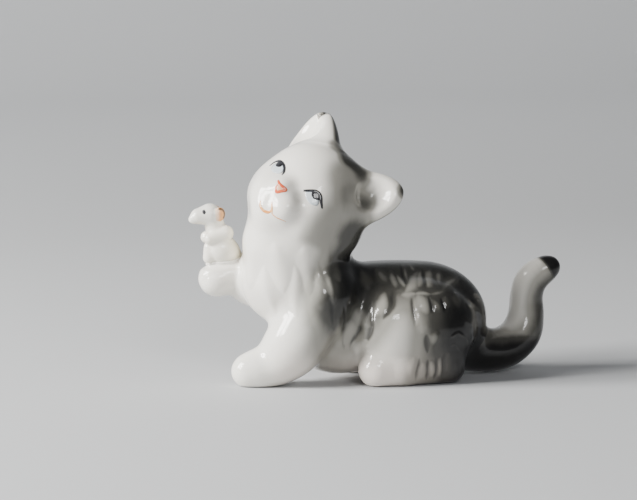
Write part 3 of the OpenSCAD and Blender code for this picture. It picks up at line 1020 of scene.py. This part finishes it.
mouth = Enamel(HEAD, CHEEK, CROWN, FACE)
smile = [
    (-2.3, -11.0, 0.5), (-1.5, -12.0, 0.9), (-0.2, -12.5, 1),
    (1.1, -12.3, 1), (1.9, -11.7, 0.9), (2.2, -10.8, 0.5),
]
cleft = [(0.9, -9.3, 0.4), (1.5, -10.1, 0.9), (2.3, -11.1, 0.9), (2.8, -11.8, 0.5)]
corner = [(2.9, -11.8, 0.6), (4.5, -11.7, 0.6), (6.6, -10.9, 0.3)]
mouth.stroke(smile, 0.75)
mouth.stroke(cleft, 0.65)
mouth.stroke(corner, 0.4, 0.05)
mouth.build("mouth_enamel", [ORANGE])

MOUSE_EYE = [(1.6, 1.0), (2.0, 1.6), (2.6, 1.3), (2.5, 0.6), (2.0, 0.4)]
for s, name in ((LEFT, "mouse_left_eye"), (RIGHT, "mouse_right_eye")):
    eye = Enamel(MOUSE_SKULL, np.array([-1.0, 0, 0]), np.array([0, 0, 1.0]), np.array([0, s, 0]))
    eye.patch(np.array([2.1, 1.0]), MOUSE_EYE, 0.08, rings=3)
    eye.build(name, [BLACK])


# ---- Camera, floor and lights ----

low, high = cad_box
middle = (Vector(low) + Vector(high)) / 2
VIEW_AZIMUTH, VIEW_DOWN, VIEW_DISTANCE = np.radians(-15), np.radians(7.2), 1.03
level = np.cos(VIEW_DOWN)
away = Vector((-np.sin(VIEW_AZIMUTH) * level, np.cos(VIEW_AZIMUTH) * level, -np.sin(VIEW_DOWN)))
look_at = middle + Vector((-0.0168, 0.0047, -0.001))

camera_data = bpy.data.cameras.new("camera")
camera_data.sensor_width = 36
camera_data.lens = 209.3
camera_data.clip_end = 20
camera = bpy.data.objects.new("camera", camera_data)
camera.location = look_at - away * VIEW_DISTANCE
camera.rotation_euler = away.to_track_quat("-Z", "Y").to_euler()
bpy.context.scene.collection.objects.link(camera)
bpy.context.scene.camera = camera


def softbox(name, place, size, power, colour=(1, 1, 1), target=None):
    light = bpy.data.lights.new(name, "AREA")
    light.shape = "RECTANGLE"
    light.size, light.size_y = size
    light.energy = power
    light.color = colour
    obj = bpy.data.objects.new(name, light)
    obj.location = place
    aim = Vector(target) if target else middle
    obj.rotation_euler = (aim - Vector(place)).to_track_quat("-Z", "Y").to_euler()
    bpy.context.scene.collection.objects.link(obj)


# Four panes of the window in front of the cat, and two of the one beside it
for pane, (across, up) in enumerate([(-0.12, -0.14), (0.12, -0.14), (-0.12, 0.14), (0.12, 0.14)]):
    softbox(f"window_{pane}", (-0.90, -0.04 + across, 0.50 + up), (0.2, 0.24), 8.5, (1.0, 0.99, 0.97))
softbox("fill", (-0.6, -1.1, 0.45), (0.8, 0.6), 1.2)
softbox("backdrop", (-0.1, 0.55, 0.95), (1.4, 0.4), 11, target=(-0.1, 1.5, 0.75))
for pane, across in enumerate((-0.085, 0.085)):
    softbox(f"front_window_{pane}", (-0.03 + across, -1.08, 0.58), (0.15, 0.24), 1.9)

world = bpy.data.worlds.new("studio")
world.use_nodes = True
world.node_tree.nodes["Background"].inputs[0].default_value = (0.80, 0.82, 0.86, 1)
world.node_tree.nodes["Background"].inputs[1].default_value = 0.12
bpy.context.scene.world = world

# Floor that sweeps up into a backdrop
FRONT, BEND_START, BEND, TOP = -2.5, 0.9, 0.6, 3
turns = np.linspace(0.1, np.pi / 2, 14)
curve = [(BEND_START + BEND * np.sin(a), BEND - BEND * np.cos(a)) for a in turns]
profile = [(FRONT, 0), (BEND_START, 0)] + curve + [(BEND_START + BEND, TOP)]
sweep_verts = [(x, y, z) for y, z in profile for x in (-3, 3)]
sweep_faces = [(2 * i, 2 * i + 1, 2 * i + 3, 2 * i + 2) for i in range(len(profile) - 1)]
sweep_mesh = bpy.data.meshes.new("sweep")
sweep_mesh.from_pydata(sweep_verts, [], sweep_faces)
sweep_mesh.shade_smooth()
sweep = bpy.data.objects.new("sweep", sweep_mesh)
bpy.context.scene.collection.objects.link(sweep)
paper = Shader("paper")
paper.surface.inputs["Base Color"].default_value = (0.52, 0.53, 0.54, 1)
paper.surface.inputs["Roughness"].default_value = 0.7
sweep_mesh.materials.append(paper.material)

bpy.context.view_layer.update()
